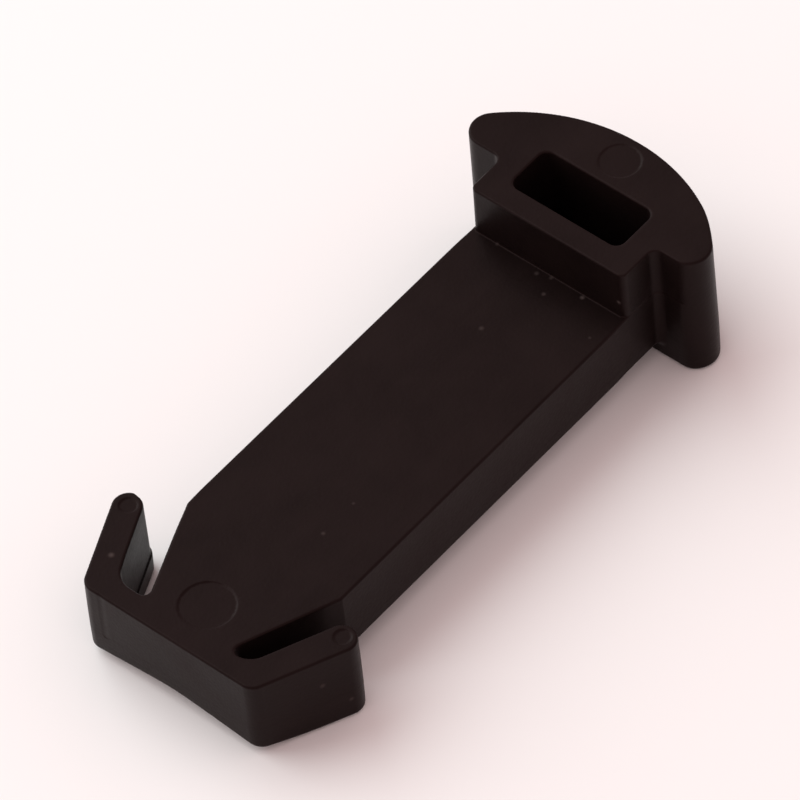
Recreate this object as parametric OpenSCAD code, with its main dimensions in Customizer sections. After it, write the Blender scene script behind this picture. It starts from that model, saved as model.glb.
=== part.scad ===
// Snap-in retaining clip: crescent grip, stop block with a blind pocket,
// flat shank, and a nose with two barbed spring arms swept back beside it.
// Millimetres. +X from nose to grip, +Y to the left, +Z up. The clip lies on Z = 0.

/* [Grip] */
// overall length from the nose face to the crown of the grip
clip_len = 40; // [38:0.5:46]
// width across the two rounded ends of the grip
grip_w = 17; // [16:0.1:18.2]
// height of the grip and the stop block
grip_h = 9.15; // [8.4:0.05:10]
// radius of the convex back of the grip
grip_arc_r = 11.67; // [11.2:0.01:13]
// thickness of the grip from its shoulder faces to the crown
grip_t = 5.55; // [5.2:0.05:6]

/* [Stop block] */
// width of the block in front of the grip
neck_w = 11; // [10.6:0.02:11.2]
// length of the block in front of the shoulder faces
neck_len = 2.67; // [2.2:0.01:3]
// radius of the two upright front corners of the block
neck_r = 0.45; // [0.2:0.05:0.8]
// concave corner radius between the block and the shoulders
groove_r = 0.5; // [0.2:0.05:0.8]
// how far the block is let into the grip
block_in = 0.4; // [0.2:0.1:1]
// length of the pocket across the clip
pocket_l = 7.7; // [6:0.1:8.4]
// width of the pocket along the clip
pocket_w = 3.14; // [2:0.02:3.4]
// corner radius of the pocket
pocket_r = 0.55; // [0.2:0.05:0.9]
// floor thickness left under the pocket
pocket_floor = 1.6; // [0.8:0.1:4]
// material between the stop face and the pocket
pocket_wall = 1.57; // [1.4:0.01:1.8]

/* [Shank] */
// width of the flat shank
shank_w = 11.08; // [10.7:0.02:11.4]
// height of the shank's top face
shank_top = 5.75; // [5.4:0.05:6.2]
// thickness of the shank
shank_t = 4.42; // [3:0.02:4.6]
// distance from the nose face to where the shank reaches full width
taper_x = 7.67; // [7.2:0.01:9]
// angle of the tapered flanks
taper_a = 22.9; // [20:0.1:24]
// fillet at the foot of the stop face
foot_r = 0.15; // [0.1:0.05:0.6]
// how far the shank runs into the stop block
shank_in = 0.6; // [0.2:0.1:1]

/* [Nose and barbs] */
// sideways offset of the nose and barbs from the shank's centre line
nose_shift = 0.38; // [0:0.01:0.4]
// depth of the nose bar from its face to the slot ends
nose_t = 1.47; // [1.3:0.01:1.6]
// radius of the rounded nose corners
nose_r = 1; // [0.6:0.05:1.2]
// height of the nose underside at its middle
nose_lift = 1.1; // [0.9:0.05:1.4]
// sweep angle of the barbs from the shank direction
barb_a = 24.6; // [23:0.1:25]
// thickness of a barb
barb_t = 1.92; // [1.6:0.02:2]
// width across the tips of the two barbs
barb_span = 17; // [16.6:0.1:17.4]
// distance from the nose face to the centre of a barb's rounded tip
barb_tip_x = 5.63; // [5.3:0.01:6]
// distance from the nose face to the centre of a barb's rounded root
barb_root_x = 1.65; // [1.6:0.01:1.8]
// running gap between a barb's rounded root and its seat
seat_gap = 0.03; // [0.02:0.01:0.08]

/* [Ejector marks] */
// depth of the round ejector marks
mark_d = 0.05; // [0.02:0.01:0.15]
// radius of the mark on the nose end of the shank
mark_nose_r = 1.6; // [1:0.02:2]
// radius of the mark on the grip
mark_grip_r = 1.2; // [0.8:0.05:1.4]
// radius of the marks on the barb tips
mark_barb_r = 0.56; // [0.3:0.02:0.6]

/* [Hidden] */
$fn = 96;
x_nose = -clip_len / 2;
x_crown = clip_len / 2;
x_sh = x_crown - grip_t;
x_stop = x_sh - neck_len;
// the grip and shank sit this far right of the box centre, the nose as far left
y_body = -nose_shift / 2;
y_nose = nose_shift / 2;
// rounded end of the grip, tangent to the shoulder line, the side and the back arc
arc_x = x_crown - grip_arc_r;
ea = x_sh - arc_x;
eb = grip_w / 2;
ek = 2 * ea - 2 * eb + 2 * grip_arc_r;
end_r = (-ek + sqrt(ek * ek - 4 * (ea * ea + eb * eb - grip_arc_r * grip_arc_r))) / 2;
end_x = x_sh + end_r;
end_y = eb - end_r;
shank_bot = shank_top - shank_t;
x_bar = x_nose + nose_t;
tip_r = barb_t / 2;
tip_x = x_nose + barb_tip_x;
tip_y = barb_span / 2 - tip_r;
root_x = x_nose + barb_root_x;
root_y = tip_y - (tip_x - root_x) * tan(barb_a);
barb_len = (tip_x - root_x) / cos(barb_a);
// half-width of the nose face at its sharp corner
corner_y = root_y - (root_x - x_nose) * tan(barb_a) + tip_r / cos(barb_a);
flank_y = shank_w / 2 - (x_nose + taper_x - x_bar) * tan(taper_a);
// underside slopes of the nose and barbs, running out to Z = 0 along the barbs
dip_y = 6.9;
dip_x = 5;
barb_travel = 12;
plastic = [0.13, 0.105, 0.1];

module sector_plan() {
  intersection() {
    translate([arc_x, 0]) circle(grip_arc_r, $fn = 240);
    polygon([[x_sh, -end_y * ea / (end_x - arc_x)],
             [x_sh, end_y * ea / (end_x - arc_x)],
             [arc_x + 3 * (end_x - arc_x), 3 * end_y],
             [arc_x + 3 * (end_x - arc_x), -3 * end_y]]);
  }
}

module grip_plan() {
  sector_plan();
  translate([x_sh, -end_y]) square([end_r, 2 * end_y]);
  for (s = [-1, 1]) translate([end_x, s * end_y]) circle(end_r);
}

module rounded_plan(l, w, r) {
  translate([-l / 2 + r, -w / 2]) square([l - 2 * r, w]);
  translate([-l / 2, -w / 2 + r]) square([l, w - 2 * r]);
  for (sx = [-1, 1], sy = [-1, 1])
    translate([sx * (l / 2 - r), sy * (w / 2 - r)]) circle(r, $fn = 48);
}

// quarter fillet filling the corner at the origin, opening to +X +Y
module corner_fill(r) {
  difference() {
    square([r, r]);
    translate([r, r]) circle(r, $fn = 64);
  }
}

module pocket_cut() {
  translate([x_stop + pocket_wall + pocket_w / 2, 0, pocket_floor])
    linear_extrude(grip_h) rounded_plan(pocket_w, pocket_l, pocket_r);
}

module grip_head() {
  color(plastic) translate([0, y_body, 0]) difference() {
    linear_extrude(grip_h) grip_plan();
    translate([x_sh - 1, -neck_w / 2 - groove_r, shank_bot]) cube([1 + block_in, neck_w + 2 * groove_r, grip_h]);
    pocket_cut();
    translate([x_crown - mark_grip_r - 0.53, 0, grip_h - mark_d]) cylinder(r = mark_grip_r, h = 1);
  }
}

module stop_block() {
  color(plastic) translate([0, y_body, 0]) difference() {
    union() {
      translate([0, 0, shank_bot]) linear_extrude(grip_h - shank_bot) {
        translate([x_stop + neck_r, -neck_w / 2]) square([neck_len - neck_r, neck_w]);
        translate([x_stop, -neck_w / 2 + neck_r]) square([neck_len, neck_w - 2 * neck_r]);
        for (s = [-1, 1]) translate([x_stop + neck_r, s * (neck_w / 2 - neck_r)]) circle(neck_r);
        translate([x_sh, -neck_w / 2 - groove_r]) square([block_in, neck_w + 2 * groove_r]);
        for (s = [0, 1]) mirror([0, s]) translate([x_sh, neck_w / 2]) mirror([1, 0]) corner_fill(groove_r);
      }
      translate([x_stop, neck_w / 2 - neck_r, shank_top]) rotate([90, 0, 0]) mirror([1, 0])
        linear_extrude(neck_w - 2 * neck_r) {
          corner_fill(foot_r);
          // lets the fillet into the block
          translate([-0.2, 0]) square([0.2 + foot_r / 8, foot_r]);
        }
    }
    translate([x_stop - 1, -neck_w, shank_bot - 1]) cube([1 + shank_in, 2 * neck_w, shank_t + 1]);
    pocket_cut();
  }
}

module shank_plan() {
  x_end = x_stop + shank_in;
  polygon([[x_bar, -flank_y], [x_nose + taper_x, -shank_w / 2], [x_end, -shank_w / 2],
           [x_end, shank_w / 2], [x_nose + taper_x, shank_w / 2], [x_bar, flank_y]]);
}

module shank() {
  color(plastic) translate([0, y_body, 0]) difference() {
    translate([0, 0, shank_bot]) linear_extrude(shank_t) shank_plan();
    translate([x_bar + 0.05 + mark_nose_r, 0, shank_top - mark_d]) cylinder(r = mark_nose_r, h = 1);
  }
}

// nose face, rounded corners and the outer lines of the swept sides
module nose_plan() {
  tx = nose_r * tan((90 - barb_a) / 2);
  cy = corner_y - tx;
  difference() {
    union() {
      translate([x_nose, -cy]) square([nose_t, 2 * cy]);
      for (s = [-1, 1]) {
        translate([x_nose + nose_r, s * cy]) circle(nose_r);
        polygon([[x_nose + nose_r, s * cy],
                 [x_nose + nose_r - nose_r * sin(barb_a), s * (cy + nose_r * cos(barb_a))],
                 [x_bar, s * (corner_y + nose_t * tan(barb_a))], [x_bar, 0]]);
      }
    }
    translate([x_bar, -10]) square([10, 20]);
    for (s = [0, 1]) mirror([0, s]) translate([root_x, root_y]) {
      circle(tip_r + seat_gap);
      for (a = [0, barb_travel]) rotate(barb_a - a) translate([0, -tip_r - seat_gap]) square([8, barb_t + 2 * seat_gap]);
    }
  }
}

// solid removed below the sloping underside, for the side with Y > 0
module under_cut() {
  translate([x_nose, 0, nose_lift]) rotate([0, dip_x, 0]) rotate([-dip_y, 0, 0])
    translate([-3, -0.4, -8]) cube([14, 14, 8]);
}

module nose_bar() {
  color(plastic) translate([0, y_nose, 0]) for (s = [0, 1]) mirror([0, s]) difference() {
    linear_extrude(shank_top) intersection() {
      nose_plan();
      translate([x_nose - 1, 0]) square([6, 12]);
    }
    under_cut();
  }
}

module barb_shape() {
  difference() {
    linear_extrude(shank_top) translate([root_x, root_y]) rotate(barb_a) {
      circle(tip_r);
      translate([0, -tip_r]) square([barb_len, barb_t]);
      translate([barb_len, 0]) circle(tip_r);
    }
    under_cut();
    translate([tip_x, tip_y, shank_top - mark_d]) cylinder(r = mark_barb_r, h = 1, $fn = 48);
  }
}

module barb_left() {
  color(plastic) translate([0, y_nose, 0]) barb_shape();
}

module barb_right() {
  color(plastic) translate([0, y_nose, 0]) mirror([0, 1, 0]) barb_shape();
}

grip_head();
stop_block();
shank();
nose_bar();
barb_left();
barb_right();
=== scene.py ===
import bpy, bmesh, math
import numpy as np
from mathutils import Vector, Matrix


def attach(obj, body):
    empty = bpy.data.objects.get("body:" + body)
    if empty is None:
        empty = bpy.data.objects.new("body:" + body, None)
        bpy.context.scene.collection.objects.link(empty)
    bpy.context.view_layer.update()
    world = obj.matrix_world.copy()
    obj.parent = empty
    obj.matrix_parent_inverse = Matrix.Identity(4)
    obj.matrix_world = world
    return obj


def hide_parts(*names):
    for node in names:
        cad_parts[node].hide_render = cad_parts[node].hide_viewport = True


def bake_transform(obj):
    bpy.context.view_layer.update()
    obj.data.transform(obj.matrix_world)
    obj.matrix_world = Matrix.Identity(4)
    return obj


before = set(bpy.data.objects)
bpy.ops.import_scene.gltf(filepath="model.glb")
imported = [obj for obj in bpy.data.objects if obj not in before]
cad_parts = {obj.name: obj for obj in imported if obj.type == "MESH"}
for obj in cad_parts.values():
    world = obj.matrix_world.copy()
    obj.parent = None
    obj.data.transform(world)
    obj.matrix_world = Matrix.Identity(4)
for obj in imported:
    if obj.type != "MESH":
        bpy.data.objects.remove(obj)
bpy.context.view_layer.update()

# ---------------------------------------------------------------- sizes, mm
MM = 0.001
X_NOSE, X_CROWN = -20.0, 20.0
Y_BODY, Y_NOSE = -0.19, 0.19
GRIP_W, GRIP_H, ARC_R, X_SH = 16.94, 9.15, 11.67, 14.45
X_STOP, NECK_W, GROOVE_R = 11.78, 11.0, 0.55
POCKET = (13.35, 16.49, 7.7, 0.6, 1.6)        # x low, x high, length in y, corner radius, floor
SHANK_W, SHANK_TOP, SHANK_BOT = 11.08, 5.75, 1.33
TAPER_X, TAPER_A = -12.33, math.radians(22.9)
X_BAR = -18.53
NOSE_R, NOSE_LIFT = 1.0, 1.10
BARB_A = math.radians(24.6)
TIP_R, TIP = 0.96, (-14.37, 7.54)
DIP_X, DIP_Y = math.radians(5.0), math.radians(6.9)
Z_PART = 2.2                                 # height of the mould's parting plane
DRAFT_UP, DRAFT_DOWN = 0.009, 0.0205
EDGE, BOT_R = 0.13, 0.28
LEDGE = 0.003                                # step left where the two mould halves meet
LOBE_IN = 0.27                               # the right end of the grip is this much shorter than the left
CA, SA = math.cos(BARB_A), math.sin(BARB_A)
MID = -SA * (TIP[0] - X_NOSE) + CA * TIP[1]   # barb centre line, as an offset from the nose centre
S_TIP = CA * (TIP[0] - X_NOSE) + SA * TIP[1]
_a, _b = X_SH - (X_CROWN - ARC_R), GRIP_W / 2
_k = 2 * _a - 2 * _b + 2 * ARC_R
R_END = (-_k + math.sqrt(_k * _k - 4 * (_a * _a + _b * _b - ARC_R * ARC_R))) / 2


def rmax(a, b, r):
    return np.minimum(-r, np.maximum(a, b)) + np.hypot(np.maximum(a + r, 0), np.maximum(b + r, 0))


def rmin(a, b, r):
    return np.maximum(r, np.minimum(a, b)) - np.hypot(np.maximum(r - a, 0), np.maximum(r - b, 0))


def floor_level(f):
    return np.maximum(0.5 * (f + np.sqrt(f * f + 0.02)), 0.0)


def step(t):
    t = np.clip(t, 0, 1)
    return t * t * (3 - 2 * t)


def grip_plan(x, y):
    r = R_END
    R1, c = ARC_R - r, X_CROWN - ARC_R
    xs = X_SH + r
    yc = math.sqrt(R1 * R1 - (xs - c) ** 2)
    ay = np.abs(y)
    rad = np.hypot(x - c, y)
    proj = c + (x - c) * R1 / np.maximum(rad, 1e-6)
    corner = np.hypot(x - xs, ay - yc)
    return np.where((ay > yc) & (proj < xs), corner, np.maximum(xs - x, rad - R1)) - r


def shank_plan(x, y):
    w = SHANK_W / 2 + (NECK_W - SHANK_W) / 2 * step((x - X_STOP + 1.5) / 1.5)
    side = np.abs(y) - w
    flank = (np.abs(y) - w + (TAPER_X - x) * math.tan(TAPER_A)) * math.cos(TAPER_A)
    return np.maximum(rmax(np.maximum(side, flank), (X_NOSE + 1.25) - x, 0.05), x - X_SH - 1.2)


def nose_plan(x, y):
    u, ay = x - X_NOSE, np.abs(y)
    off = -SA * u + CA * ay - MID             # across the barb, 0 on its centre line
    s = CA * u + SA * ay                      # along the barb
    r = NOSE_R
    a, b = -u + r, off - TIP_R + r            # face and outer line, moved in by the corner radius
    cy = (MID + TIP_R - r + SA * r) / CA
    qx, qy = u - r, ay - cy
    outer = np.where((qy >= 0) & (qx * CA + qy * SA <= 0), np.hypot(qx, qy), np.maximum(a, b)) - r
    slot = rmax((X_BAR - X_NOSE) - u, off + TIP_R, 0.68)
    end = np.where(s > S_TIP, np.hypot(s - S_TIP, off) - TIP_R, s - S_TIP - TIP_R)
    return np.maximum(np.maximum(outer, -slot), end)


MARKS = [(-16.98, Y_BODY, 1.6, 0.055), (18.25, Y_BODY, 1.2, 0.04),
         (TIP[0], Y_NOSE + TIP[1] - 0.02, 0.52, 0.04), (TIP[0] + 0.12, Y_NOSE - TIP[1] - 0.02, 0.5, 0.06)]


def clip_field(x, y, z):
    """Signed distance to the moulding, negative inside, in mm."""
    yb, yn = y - Y_BODY, y - Y_NOSE
    off = CA * np.abs(yn) - SA * (x - X_NOSE) - MID
    inner = step((yn - 4.2) / 1.5) * step((-11 - x) / 2) * step(-off / 0.4)
    up = z - Z_PART + 0.7 * inner            # the parting line runs lower inside the left barb
    bow = np.sqrt(up * up + 0.8)             # the two drafts run into each other without a crease
    draft = (DRAFT_UP * (bow + up) / 2 + DRAFT_DOWN * (bow - up) / 2 + LEDGE * step(up / 0.25 + 0.5)
             + 0.09 * inner * step(up / 0.13 + 0.5))
    shank = rmax(shank_plan(x, yb) + draft, SHANK_BOT - z, 0.22)
    u, ayn = x - X_NOSE, np.sqrt(yn * yn + 1.2) - 0.35
    floor = NOSE_LIFT - math.tan(DIP_X) * u - math.tan(DIP_Y) * ayn
    nose = rmax(nose_plan(x, yn) + draft, (floor_level(floor) - z) * 0.985, BOT_R)
    grip = rmax(grip_plan(x, yb - LOBE_IN * step((-yb - 5.6) / 2.4)) + draft, -z, BOT_R)
    low = rmin(rmin(shank, nose, 0.66), grip, GROOVE_R)
    # stepped top: shank level, then the stop face up to the grip level
    mark = 0
    for mx, my, mr, md in MARKS:
        mark = mark + md * step((mr - np.hypot(x - mx, y - my)) / 0.12 + 0.5)
    riser = X_STOP + (z - SHANK_TOP) * 0.02 - x
    riser = rmax(riser, np.abs(yb) - NECK_W / 2 + draft, 0.45)
    riser = rmin(riser, X_SH - x + draft, GROOVE_R)
    top = rmin(z - SHANK_TOP + mark, rmax(riser, z - GRIP_H + mark, 0.09), 0.02)
    body = rmax(low, top, EDGE)
    px0, px1, pl, pr, pf = POCKET
    sink = (GRIP_H - z) * 0.012
    qx = np.abs(x - (px0 + px1) / 2) - (px1 - px0) / 2 + pr + sink
    qy = np.abs(yb) - pl / 2 + pr + sink
    hole = np.hypot(np.maximum(qx, 0), np.maximum(qy, 0)) + np.minimum(np.maximum(qx, qy), 0) - pr
    hole = rmax(hole, pf - z, 0.25)
    return rmax(body, -hole, EDGE)


def gradient(p, e=0.004):
    g = np.empty_like(p)
    for i in range(3):
        d = np.zeros(3); d[i] = e
        g[:, i] = clip_field(*(p + d).T) - clip_field(*(p - d).T)
    return g / (2 * e)


def project(p, n=4):
    for _ in range(n):
        f, g = clip_field(*p.T), gradient(p)
        p = p - g * (np.clip(f, -0.1, 0.1) / np.maximum((g * g).sum(1), 0.2))[:, None]
    return p


def surface_net(h):
    lo = np.array([X_NOSE - 0.3, -8.8, -0.3]) + h * np.array([0.137, 0.271, 0.413])
    hi = np.array([X_CROWN + 0.3, 8.8, GRIP_H + 0.3])
    n = np.ceil((hi - lo) / h).astype(int) + 1
    ax = [lo[i] + h * np.arange(n[i]) for i in range(3)]
    f = np.empty(n, np.float32)
    for i0 in range(0, n[0], 40):
        X, Y, Z = np.meshgrid(ax[0][i0:i0 + 40], ax[1], ax[2], indexing="ij")
        f[i0:i0 + 40] = clip_field(X, Y, Z)
    ins = f < 0
    c = np.zeros(n - 1, np.int8)
    for i in (0, 1):
        for j in (0, 1):
            for k in (0, 1):
                c += ins[i:n[0] - 1 + i, j:n[1] - 1 + j, k:n[2] - 1 + k]
    cells = np.argwhere((c > 0) & (c < 8))
    index = np.full(n - 1, -1, np.int64)
    index[tuple(cells.T)] = np.arange(len(cells))
    # mean of the edge crossings
    total, count = np.zeros((len(cells), 3)), np.zeros(len(cells))
    for axis in range(3):
        o1, o2 = [a for a in range(3) if a != axis]
        for a in (0, 1):
            for b in (0, 1):
                q = cells.copy(); q[:, o1] += a; q[:, o2] += b
                r = q.copy(); r[:, axis] += 1
                fa, fb = f[tuple(q.T)], f[tuple(r.T)]
                m = (fa < 0) != (fb < 0)
                t = fa[m] / (fa[m] - fb[m])
                pt = q[m].astype(float); pt[:, axis] += t
                total[m] += pt; count[m] += 1
    verts = lo + h * total / count[:, None]
    faces = []
    for axis in range(3):
        o1, o2 = (axis + 1) % 3, (axis + 2) % 3
        sl0, sl1 = [slice(None)] * 3, [slice(None)] * 3
        sl0[axis], sl1[axis] = slice(0, -1), slice(1, None)
        a, b = ins[tuple(sl0)], ins[tuple(sl1)]
        e = np.argwhere(a != b)
        e = e[(e[:, o1] > 0) & (e[:, o2] > 0)]
        flip = ~a[tuple(e.T)]
        quad = []
        for da, db in ((-1, -1), (0, -1), (0, 0), (-1, 0)):
            q = e.copy(); q[:, o1] += da; q[:, o2] += db
            quad.append(index[tuple(q.T)])
        quad = np.stack(quad, 1)
        quad[flip] = quad[flip][:, ::-1]
        faces.append(quad)
    return project(verts), np.concatenate(faces)


def build_mesh(name, verts, faces):
    me = bpy.data.meshes.new(name)
    me.vertices.add(len(verts)); me.vertices.foreach_set("co", (verts * MM).astype(np.float32).ravel())
    me.loops.add(faces.size); me.loops.foreach_set("vertex_index", faces.astype(np.int32).ravel())
    me.polygons.add(len(faces))
    me.polygons.foreach_set("loop_start", np.arange(0, faces.size, faces.shape[1], dtype=np.int32))
    me.polygons.foreach_set("loop_total", np.full(len(faces), faces.shape[1], np.int32))
    me.update(calc_edges=True); me.validate()
    return me


GRID = 0.1
verts, faces = surface_net(GRID)

# ---------------------------------------------------------------- three pieces: body and the two barbs
S_CUT = CA * 1.65 + SA * (TIP[1] - (5.63 - 1.65) * math.tan(BARB_A)) - TIP_R   # start of a barb, along it


def part_mesh(side):
    """side 0: the body without the barbs; +1 or -1: one barb. Cut by planes across each barb's root."""
    bm = bmesh.new(); bm.from_mesh(whole)
    for sgn in (1, -1):
        no = Vector((CA, sgn * SA, 0))
        co = Vector((X_NOSE, Y_NOSE, 0)) * MM + no * (S_CUT * MM)
        acr = Vector((-SA, sgn * CA, 0))
        base = Vector((X_NOSE, Y_NOSE, 0)) * MM

        def on_barb(v, margin=0.0):
            q = v - base
            return q.dot(acr) > (MID - TIP_R - 0.3) * MM and q.x < 7 * MM and q.y * sgn > 0
        near = [f for f in bm.faces if on_barb(f.calc_center_median()) and abs((f.calc_center_median() - co).dot(no)) < 0.6 * MM]
        geom = list({v for f in near for v in f.verts}) + list({e for f in near for e in f.edges}) + near
        bmesh.ops.bisect_plane(bm, geom=geom, plane_co=co, plane_no=no, dist=1e-9)
        barb = {f for f in bm.faces if on_barb(f.calc_center_median()) and (f.calc_center_median() - co).dot(no) > 0}
        if side == 0:
            gone = barb
        elif side == sgn:
            gone = set(bm.faces) - barb
        else:
            continue
        bmesh.ops.delete(bm, geom=list(gone), context="FACES")
    bmesh.ops.delete(bm, geom=[v for v in bm.verts if not v.link_faces], context="VERTS")
    edge = [e for e in bm.edges if len(e.link_faces) == 1]
    made = bmesh.ops.holes_fill(bm, edges=edge, sides=0)
    for f in made["faces"]:
        f.material_index = 1
    bmesh.ops.triangulate(bm, faces=made["faces"])
    me = bpy.data.meshes.new("part"); bm.to_mesh(me); bm.free()
    return me


whole = build_mesh("whole", verts, faces)


def smooth_normals(ob):
    """Shade each wall corner with the exact surface direction; caps inside the plastic stay flat."""
    me = ob.data
    for p in me.polygons:
        p.use_smooth = True
    co = np.empty(len(me.vertices) * 3, np.float32); me.vertices.foreach_get("co", co)
    p = co.reshape(-1, 3).astype(float) / MM
    g = gradient(p, 0.02)
    g /= np.maximum(np.linalg.norm(g, axis=1), 1e-9)[:, None]
    loops = np.empty(len(me.loops), np.int32); me.loops.foreach_get("vertex_index", loops)
    normals = g[loops]
    cap = np.zeros(len(me.polygons), np.int32); me.polygons.foreach_get("material_index", cap)
    for i in np.nonzero(cap)[0]:
        q = me.polygons[i]
        normals[q.loop_start:q.loop_start + q.loop_total] = q.normal
    me.polygons.foreach_set("material_index", np.zeros(len(me.polygons), np.int32))
    me.normals_split_custom_set(normals.tolist())


def thin(ob, ratio):
    m = ob.modifiers.new("thin", "DECIMATE"); m.decimate_type = "COLLAPSE"; m.ratio = ratio
    bpy.context.view_layer.objects.active = ob
    dg = bpy.context.evaluated_depsgraph_get()
    me = bpy.data.meshes.new_from_object(ob.evaluated_get(dg))
    ob.modifiers.clear(); ob.data = me


col = bpy.context.scene.collection


def add_piece(name, side, ratio=None):
    ob = bpy.data.objects.new(name, part_mesh(side))
    ob.data.name = name
    col.objects.link(ob)
    if ratio:
        thin(ob, ratio)
    smooth_normals(ob)
    return ob


# ---------------------------------------------------------------- moulded black plastic
def plastic():
    m = bpy.data.materials.new("moulded_black_plastic"); m.use_nodes = True
    nt = m.node_tree; N, Lk = nt.nodes, nt.links
    b = N["Principled BSDF"]
    tc = N.new("ShaderNodeTexCoord")

    def noise(scale, detail=3.0, rough=0.55, dist=0.0):
        n = N.new("ShaderNodeTexNoise"); n.inputs["Scale"].default_value = scale
        n.inputs["Detail"].default_value = detail; n.inputs["Roughness"].default_value = rough
        n.inputs["Distortion"].default_value = dist
        Lk.new(tc.outputs["Object"], n.inputs["Vector"]); return n

    def ramp(src, lo, hi, a, c):
        r = N.new("ShaderNodeMapRange"); r.inputs["From Min"].default_value = lo; r.inputs["From Max"].default_value = hi
        r.inputs["To Min"].default_value = a; r.inputs["To Max"].default_value = c
        Lk.new(src, r.inputs["Value"]); return r

    def mix(fac, a, c):
        x = N.new("ShaderNodeMix"); x.data_type = "RGBA"
        if isinstance(fac, float): x.inputs["Factor"].default_value = fac
        else: Lk.new(fac, x.inputs["Factor"])
        for s, v in (("A", a), ("B", c)):
            q = [i for i in x.inputs if i.name == s and i.type == "RGBA"][0]
            if isinstance(v, tuple): q.default_value = v
            else: Lk.new(v, q)
        return [o for o in x.outputs if o.type == "RGBA"][0]

    def maths(op, a, c=None):
        x = N.new("ShaderNodeMath"); x.operation = op
        for i, v in ((0, a), (1, c)):
            if v is None: continue
            if isinstance(v, (int, float)): x.inputs[i].default_value = v
            else: Lk.new(v, x.inputs[i])
        return x.outputs[0]

    cloud = noise(260, 3, 0.55, 0.3)          # soft patches a few mm wide
    grain = noise(5200, 2, 0.5)               # fine moulded grain
    flow = N.new("ShaderNodeTexNoise"); flow.inputs["Scale"].default_value = 1.0; flow.inputs["Detail"].default_value = 3
    mp = N.new("ShaderNodeMapping"); mp.inputs["Scale"].default_value = (90, 700, 700)
    Lk.new(tc.outputs["Object"], mp.inputs["Vector"]); Lk.new(mp.outputs[0], flow.inputs["Vector"])
    base = mix(ramp(cloud.outputs["Fac"], 0.35, 0.65, 0, 1).outputs[0], (0.0059, 0.0034, 0.0032, 1), (0.0080, 0.0046, 0.0043, 1))
    base = mix(ramp(flow.outputs["Fac"], 0.4, 0.75, 0, 0.35).outputs[0], base, (0.0098, 0.0057, 0.0054, 1))
    # lint and dust: a few pale specks, thicker in places
    vo = N.new("ShaderNodeTexVoronoi"); vo.inputs["Scale"].default_value = 420; vo.inputs["Randomness"].default_value = 1
    Lk.new(tc.outputs["Object"], vo.inputs["Vector"])
    keep = noise(700, 1)
    speck = maths("MULTIPLY", ramp(vo.outputs["Distance"], 0.05, 0.0, 0, 1).outputs[0], ramp(keep.outputs["Fac"], 0.6, 0.66, 0, 1).outputs[0])
    dust = speck
    for x, y, z, r, a in DUST:
        d = N.new("ShaderNodeVectorMath"); d.operation = "DISTANCE"; d.inputs[1].default_value = (x * MM, y * MM, z * MM)
        Lk.new(tc.outputs["Object"], d.inputs[0])
        k = N.new("ShaderNodeMapRange"); k.interpolation_type = "SMOOTHSTEP"
        k.inputs["From Min"].default_value = 1.7 * r * MM; k.inputs["From Max"].default_value = 0
        k.inputs["To Min"].default_value = 0; k.inputs["To Max"].default_value = a
        Lk.new(d.outputs["Value"], k.inputs["Value"])
        dust = maths("MAXIMUM", dust, k.outputs[0])
    base = mix(maths("MULTIPLY", dust, 0.24), base, (0.22, 0.17, 0.16, 1))
    Lk.new(base, b.inputs["Base Color"])
    rough = maths("ADD", ramp(cloud.outputs["Fac"], 0.3, 0.7, 0.33, 0.42).outputs[0], ramp(grain.outputs["Fac"], 0.3, 0.7, -0.03, 0.03).outputs[0])
    rough = maths("ADD", rough, maths("MULTIPLY", dust, 0.3))
    Lk.new(rough, b.inputs["Roughness"])
    b.inputs["IOR"].default_value = 1.5
    b.inputs["Specular IOR Level"].default_value = 0.08
    b.inputs["Specular Tint"].default_value = (1.0, 0.66, 0.65, 1)
    b1 = N.new("ShaderNodeBump"); b1.inputs["Strength"].default_value = 0.35; b1.inputs["Distance"].default_value = 0.00002
    Lk.new(grain.outputs["Fac"], b1.inputs["Height"])
    wave = noise(420, 2, 0.5)
    b2 = N.new("ShaderNodeBump"); b2.inputs["Strength"].default_value = 0.25; b2.inputs["Distance"].default_value = 0.00006
    Lk.new(wave.outputs["Fac"], b2.inputs["Height"]); Lk.new(b1.outputs[0], b2.inputs["Normal"])
    b3 = N.new("ShaderNodeBump"); b3.inputs["Strength"].default_value = 0.5; b3.inputs["Distance"].default_value = 0.00004
    Lk.new(dust, b3.inputs["Height"]); Lk.new(b2.outputs[0], b3.inputs["Normal"])
    Lk.new(b3.outputs[0], b.inputs["Normal"])
    return m


# lint caught on the plastic: x, y, z in mm, radius in mm, strength
DUST = [(-17.49, 6.18, 5.75, 0.15, 0.8), (-9.51, -2.02, 5.75, 0.11, 0.45), (6.58, 0.27, 5.75, 0.13, 0.45),
        (10.49, -0.91, 5.75, 0.11, 0.5), (11.39, 0.34, 5.75, 0.12, 0.45), (11.62, -0.5, 5.75, 0.11, 0.45),
        (11.56, -2.76, 5.75, 0.12, 0.9), (11.76, -5.2, 6.85, 0.12, 0.9), (11.7, 3.41, 5.75, 0.10, 0.35),
        (-16.3, -7.5, 3.7, 0.14, 0.5), (-14.9, -8.15, 1.6, 0.13, 0.5), (9.6, -4.9, 5.75, 0.08, 0.35)]
mat = plastic()
body = add_piece("clip_moulding", 0, 0.45)
left = add_piece("left_barb_moulding", 1)
right = add_piece("right_barb_moulding", -1)
for ob in (body, left, right):
    ob.data.materials.clear(); ob.data.materials.append(mat)
bpy.data.meshes.remove(whole)
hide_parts("grip_head", "stop_block", "shank", "nose_bar")
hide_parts("barb_left"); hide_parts("barb_right")
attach(body, "clip_body")
for ob, name, sgn in ((left, "left_barb", 1), (right, "right_barb", -1)):
    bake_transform(ob)
print("faces", len(body.data.polygons), len(left.data.polygons), len(right.data.polygons))

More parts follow.
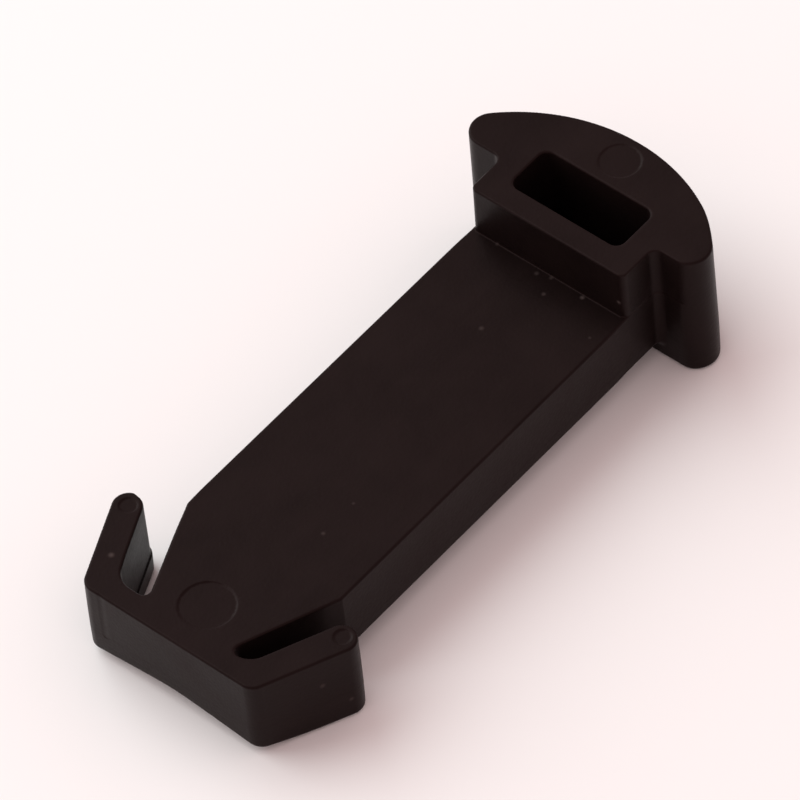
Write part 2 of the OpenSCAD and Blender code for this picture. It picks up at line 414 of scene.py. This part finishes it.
# ---------------------------------------------------------------- floor, light, camera
fm = bpy.data.materials.new("floor_white"); fm.use_nodes = True
fb = fm.node_tree.nodes["Principled BSDF"]
fb.inputs["Base Color"].default_value = (0.90, 0.90, 0.895, 1); fb.inputs["Roughness"].default_value = 0.95
fb.inputs["Specular IOR Level"].default_value = 0.1
bpy.ops.mesh.primitive_plane_add(size=3.0, location=(0, 0, -0.00002))
floor = bpy.context.active_object; floor.name = "floor"; floor.data.materials.append(fm)

U = 0.0540 * MM                              # metres per picture unit
AZ, EL, RO, TX, TY, DIST = 0.7890, 0.8814, 0.1092, 10.50, 23.92, 9778.0
pivot = Vector((0.102, -0.319, 8.425)) * MM
rt = np.array([math.cos(AZ), -math.sin(AZ), 0.0]); fw = np.array([math.sin(AZ), math.cos(AZ), 0.0]); zz = np.array([0, 0, 1.0])
cu, cb = math.sin(EL) * fw + math.cos(EL) * zz, -math.cos(EL) * fw + math.sin(EL) * zz
right_v, up_v = math.cos(RO) * rt - math.sin(RO) * cu, math.sin(RO) * rt + math.cos(RO) * cu
cam_d = bpy.data.cameras.new("camera"); cam = bpy.data.objects.new("camera", cam_d); col.objects.link(cam)
cam_d.sensor_width = 36; cam_d.sensor_fit = "HORIZONTAL"; cam_d.lens = DIST * 36 / 800
cam_d.shift_x, cam_d.shift_y = -TX / 800, -TY / 800
cam_d.clip_start, cam_d.clip_end = 0.01, 10
pos = pivot + Vector(cb) * (DIST * U)
cam.matrix_world = Matrix([[right_v[0], up_v[0], cb[0], pos[0]], [right_v[1], up_v[1], cb[1], pos[1]],
                           [right_v[2], up_v[2], cb[2], pos[2]], [0, 0, 0, 1]])
bpy.context.scene.camera = cam


def area(name, where, target, size, power, color=(1, 1, 1)):
    ld = bpy.data.lights.new(name, "AREA"); ld.shape = "DISK"; ld.size = size; ld.energy = power; ld.color = color
    lo = bpy.data.objects.new(name, ld); col.objects.link(lo); lo.location = where
    lo.rotation_euler = (Vector(target) - Vector(where)).to_track_quat("-Z", "Y").to_euler()
    return lo


L, F = Vector(rt), Vector(fw)
key_dir = (-0.60 * L + 0.46 * F + Vector((0, 0, 0.64))).normalized()
area("key", tuple(key_dir * 0.9), (0, 0, 0), 1.2, 8.0, (0.86, 1.0, 1.0))
w = bpy.data.worlds.new("studio"); bpy.context.scene.world = w; w.use_nodes = True
w.node_tree.nodes["Background"].inputs["Color"].default_value = (0.76, 0.585, 0.58, 1)
w.node_tree.nodes["Background"].inputs["Strength"].default_value = 1.03
bpy.context.scene.view_settings.view_transform = "Standard"
